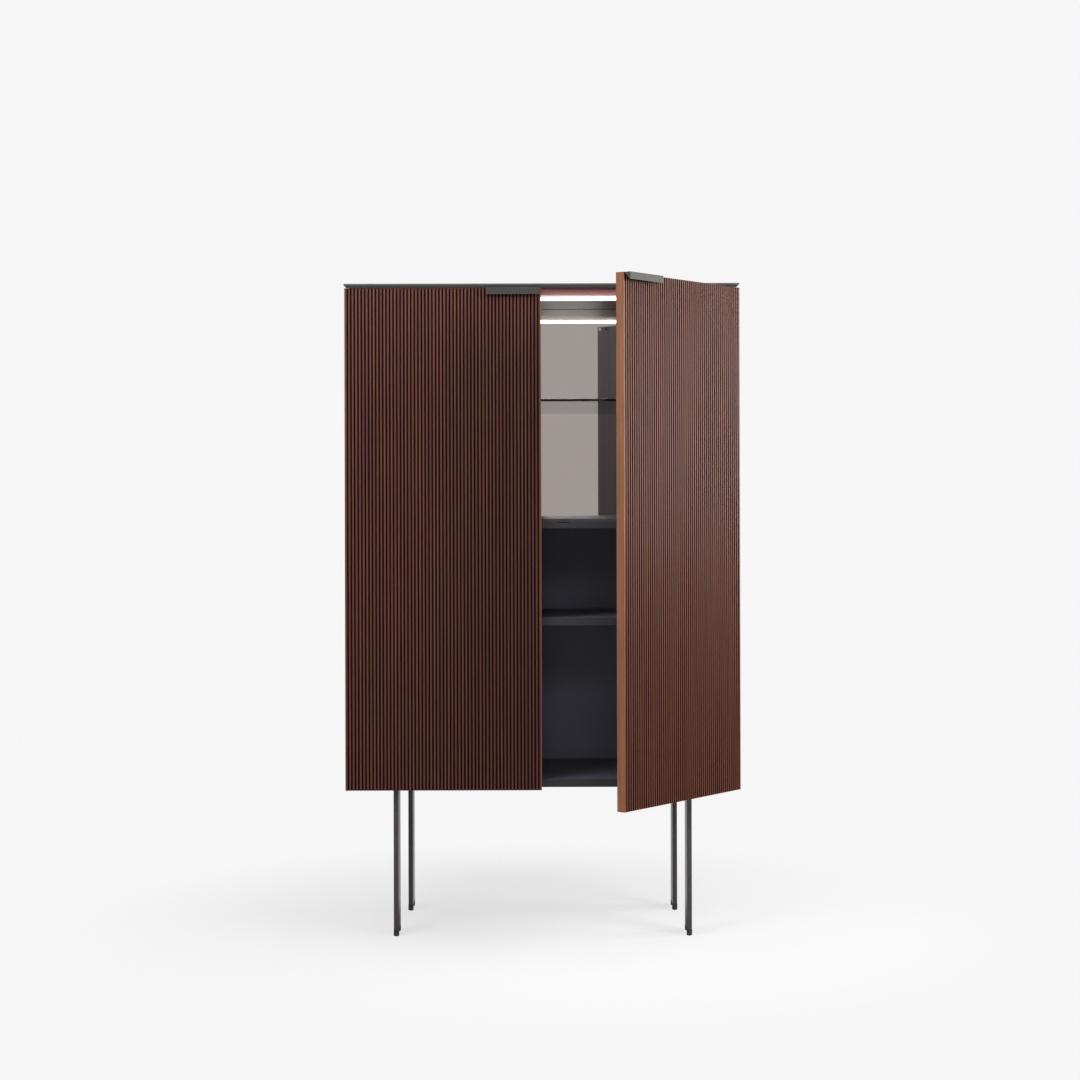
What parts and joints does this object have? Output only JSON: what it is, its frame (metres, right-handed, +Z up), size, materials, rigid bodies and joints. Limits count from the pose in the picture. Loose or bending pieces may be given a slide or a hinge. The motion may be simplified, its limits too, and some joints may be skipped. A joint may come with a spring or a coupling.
{
  "type": "bar cabinet",
  "caption": "Tall bar cabinet on blade legs with fluted swing doors, a lit mirror-backed bar, shelves and a leaf that folds out over the front edge.",
  "frame": {"origin": "on the floor, under the middle of the shut cabinet", "axes": "+Z up, the doors face -Y, +X to the right seen from the front"},
  "size_m": [0.9816, 0.834, 1.625],
  "materials": {
    "stained_walnut": "stained open-pore veneer, satin",
    "dark_board": "dark lacquer, matt",
    "beech": "turned and ribbed",
    "top_grey": "satin grey",
    "handle_grey": "satin grey",
    "leg_grey": "fine powder coat",
    "glide_black": "moulded",
    "mirror": "grey tinted",
    "smoked_glass": "polished edge",
    "lamp_aluminium": "anodised",
    "lamp_board": "white circuit strip",
    "opal_cover": "opal",
    "steel": "zinc plated",
    "black_steel": "blackened, matt",
    "nylon": "moulded"
  },
  "bodies": {
    "cabinet": {"carcass_dowels": "beech", "lower_shelf_pegs": "steel", "glass_shelf_supports": "steel", "left_upper_pivot_arm": "steel", "left_lower_pivot_arm": "steel", "right_upper_pivot_arm": "steel", "right_lower_pivot_arm": "steel", "pivot_arm_screws": "steel", "carcass_left_side": "dark_board", "carcass_right_side": "dark_board", "catch_magnets": "steel", "top_panel_screws": "steel", "carcass_top": "dark_board", "top_panel": "top_grey", "leg_front_left": "leg_grey", "leg_front_right": "leg_grey", "leg_rear_left": "leg_grey", "leg_rear_right": "leg_grey", "leg_screws": "steel", "carcass_bottom": "dark_board", "back_panel": "dark_board", "cable_grommet": "nylon", "leaf_hinge_fixed_leaves": "black_steel", "leaf_hinge_pins": "black_steel", "bar_shelf": "dark_board", "bar_top": "dark_board", "lower_shelf": "dark_board", "glass_shelf": "smoked_glass", "mirror": "mirror", "lamp_base": "lamp_aluminium", "lamp_strip": "lamp_board", "lamp_cover": "opal_cover"},
    "left_door": {"left_door_panel": "stained_walnut", "left_door_bushes": "nylon", "left_handle": "handle_grey", "left_handle_screws": "steel", "left_strike_plate": "steel", "left_door_bumpers": "nylon"},
    "right_door": {"right_door_panel": "stained_walnut", "right_door_bushes": "nylon", "right_handle": "handle_grey", "right_handle_screws": "steel", "right_strike_plate": "steel", "right_door_bumpers": "nylon"},
    "leaf": {"fold_out_leaf": "dark_board", "leaf_hinge_turning_leaves": "black_steel"},
    "glide_front_left_fore": {"glide_front_left_fore": "glide_black"},
    "glide_front_left_aft": {"glide_front_left_aft": "glide_black"},
    "glide_front_right_fore": {"glide_front_right_fore": "glide_black"},
    "glide_front_right_aft": {"glide_front_right_aft": "glide_black"},
    "glide_rear_left_fore": {"glide_rear_left_fore": "glide_black"},
    "glide_rear_left_aft": {"glide_rear_left_aft": "glide_black"},
    "glide_rear_right_fore": {"glide_rear_right_fore": "glide_black"},
    "glide_rear_right_aft": {"glide_rear_right_aft": "glide_black"}
  },
  "joints": [
    {"name": "left_door_swing", "type": "hinge", "parent": "cabinet", "child": "left_door", "pos_m": [-0.479, -0.2185, 0.374], "axis": [0, 0, -1], "range_deg": [0, 110]},
    {"name": "right_door_swing", "type": "hinge", "parent": "cabinet", "child": "right_door", "pos_m": [0.479, -0.2185, 0.374], "axis": [0, 0, 1], "range_deg": [-51.6, 58.4]},
    {"name": "leaf_fold", "type": "hinge", "parent": "cabinet", "child": "leaf", "pos_m": [0.161, -0.1987, 1.0341], "axis": [1, 0, 0], "range_deg": [0, 180]},
    {"name": "glide_front_left_fore_turn", "type": "hinge", "parent": "cabinet", "child": "glide_front_left_fore", "pos_m": [-0.366, -0.1785, 0], "axis": [0, 0, 1], "continuous": true},
    {"name": "glide_front_left_aft_turn", "type": "hinge", "parent": "cabinet", "child": "glide_front_left_aft", "pos_m": [-0.366, -0.1165, 0], "axis": [0, 0, 1], "continuous": true},
    {"name": "glide_front_right_fore_turn", "type": "hinge", "parent": "cabinet", "child": "glide_front_right_fore", "pos_m": [0.366, -0.1785, 0], "axis": [0, 0, 1], "continuous": true},
    {"name": "glide_front_right_aft_turn", "type": "hinge", "parent": "cabinet", "child": "glide_front_right_aft", "pos_m": [0.366, -0.1165, 0], "axis": [0, 0, 1], "continuous": true},
    {"name": "glide_rear_left_fore_turn", "type": "hinge", "parent": "cabinet", "child": "glide_rear_left_fore", "pos_m": [-0.35, 0.1465, 0], "axis": [0, 0, 1], "continuous": true},
    {"name": "glide_rear_left_aft_turn", "type": "hinge", "parent": "cabinet", "child": "glide_rear_left_aft", "pos_m": [-0.35, 0.2085, 0], "axis": [0, 0, 1], "continuous": true},
    {"name": "glide_rear_right_fore_turn", "type": "hinge", "parent": "cabinet", "child": "glide_rear_right_fore", "pos_m": [0.35, 0.1465, 0], "axis": [0, 0, 1], "continuous": true},
    {"name": "glide_rear_right_aft_turn", "type": "hinge", "parent": "cabinet", "child": "glide_rear_right_aft", "pos_m": [0.35, 0.2085, 0], "axis": [0, 0, 1], "continuous": true}
  ]
}
